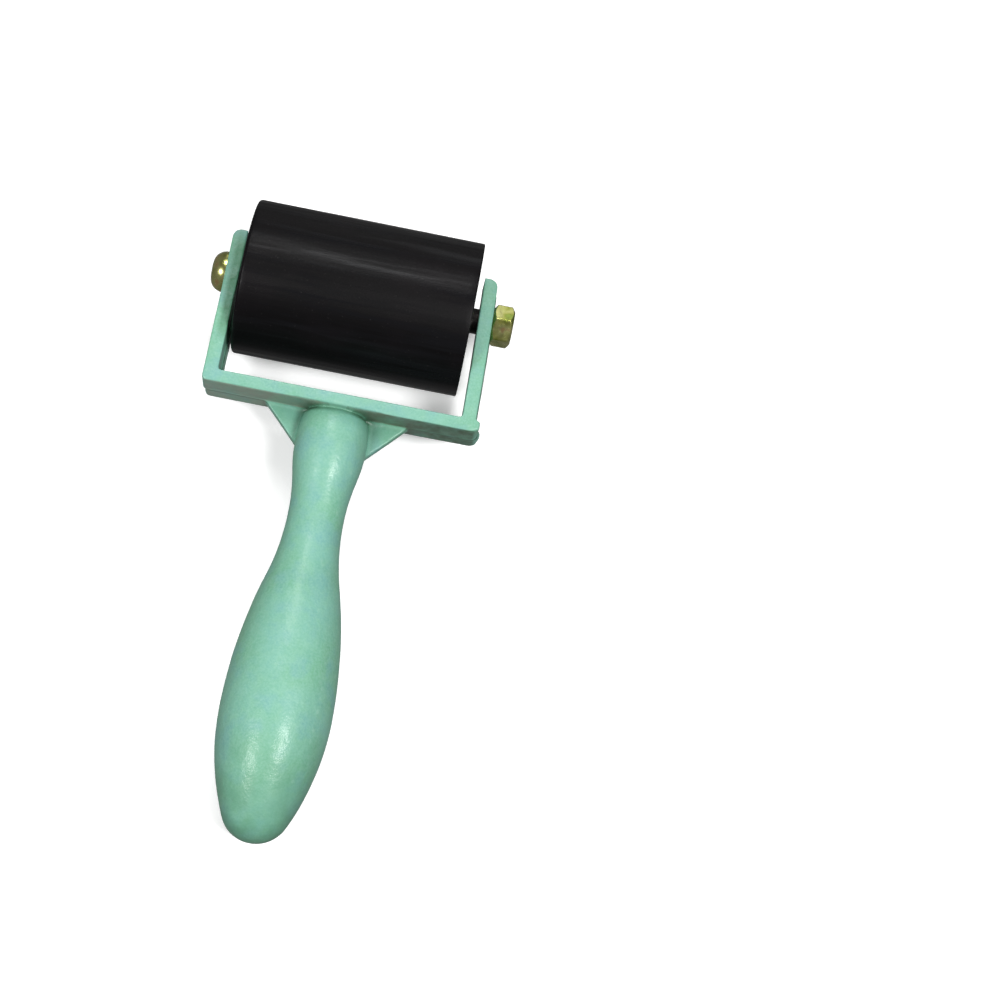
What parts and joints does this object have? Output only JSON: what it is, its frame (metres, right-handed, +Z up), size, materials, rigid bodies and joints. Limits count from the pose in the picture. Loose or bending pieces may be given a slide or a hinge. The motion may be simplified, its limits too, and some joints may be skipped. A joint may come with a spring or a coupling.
{
  "type": "rubber brayer",
  "caption": "Hand brayer: a rubber-covered roller on ball bearings, held by a bolt through a cast yoke with a one-piece rounded handle.",
  "frame": {"origin": "point on the table under the axle, midway between the yoke's arms, with the tool resting on its roller and the swell of its handle", "axes": "+X along the axle from the bolt's head to the nut, handle along -Y, +Z up"},
  "size_m": [0.0814, 0.1676, 0.0415],
  "materials": {
    "mint_enamel": "brushed-on enamel over a sand casting, semi-gloss",
    "yellow_zinc": "yellow zinc plate, slightly iridescent",
    "black_rubber": "ground smooth, satin",
    "blackened_steel": "blackened",
    "spacer_steel": "drawn tube",
    "core_steel": "turned",
    "bearing_steel": "ground and polished",
    "cage_steel": "pressed",
    "shield_steel": "pressed, satin"
  },
  "bodies": {
    "frame": {"frame_casting": "mint_enamel", "axle_bolt": "yellow_zinc", "axle_nut": "yellow_zinc", "distance_tube": "spacer_steel", "left_spacer": "blackened_steel", "right_spacer": "blackened_steel", "left_bearing_inner_ring": "bearing_steel", "right_bearing_inner_ring": "bearing_steel"},
    "roller": {"rubber_sleeve": "black_rubber", "roller_core": "core_steel", "left_bearing_outer_ring": "bearing_steel", "left_bearing_inboard_shield": "shield_steel", "left_bearing_outboard_shield": "shield_steel", "right_bearing_outer_ring": "bearing_steel", "right_bearing_inboard_shield": "shield_steel", "right_bearing_outboard_shield": "shield_steel"},
    "left_ball_set": {"left_bearing_balls": "bearing_steel", "left_bearing_cage": "cage_steel"},
    "right_ball_set": {"right_bearing_balls": "bearing_steel", "right_bearing_cage": "cage_steel"}
  },
  "joints": [
    {"name": "roller_spin", "type": "hinge", "parent": "frame", "child": "roller", "pos_m": [0, 0, 0.02075], "axis": [1, 0, 0], "continuous": true},
    {"name": "left_ball_travel", "type": "hinge", "parent": "frame", "child": "left_ball_set", "pos_m": [0, 0, 0.02075], "axis": [1, 0, 0], "continuous": true},
    {"name": "right_ball_travel", "type": "hinge", "parent": "frame", "child": "right_ball_set", "pos_m": [0, 0, 0.02075], "axis": [1, 0, 0], "continuous": true}
  ],
  "couplings": [
    {"joint": "left_ball_travel", "follows": "roller_spin", "ratio": 0.64},
    {"joint": "right_ball_travel", "follows": "roller_spin", "ratio": 0.64}
  ]
}
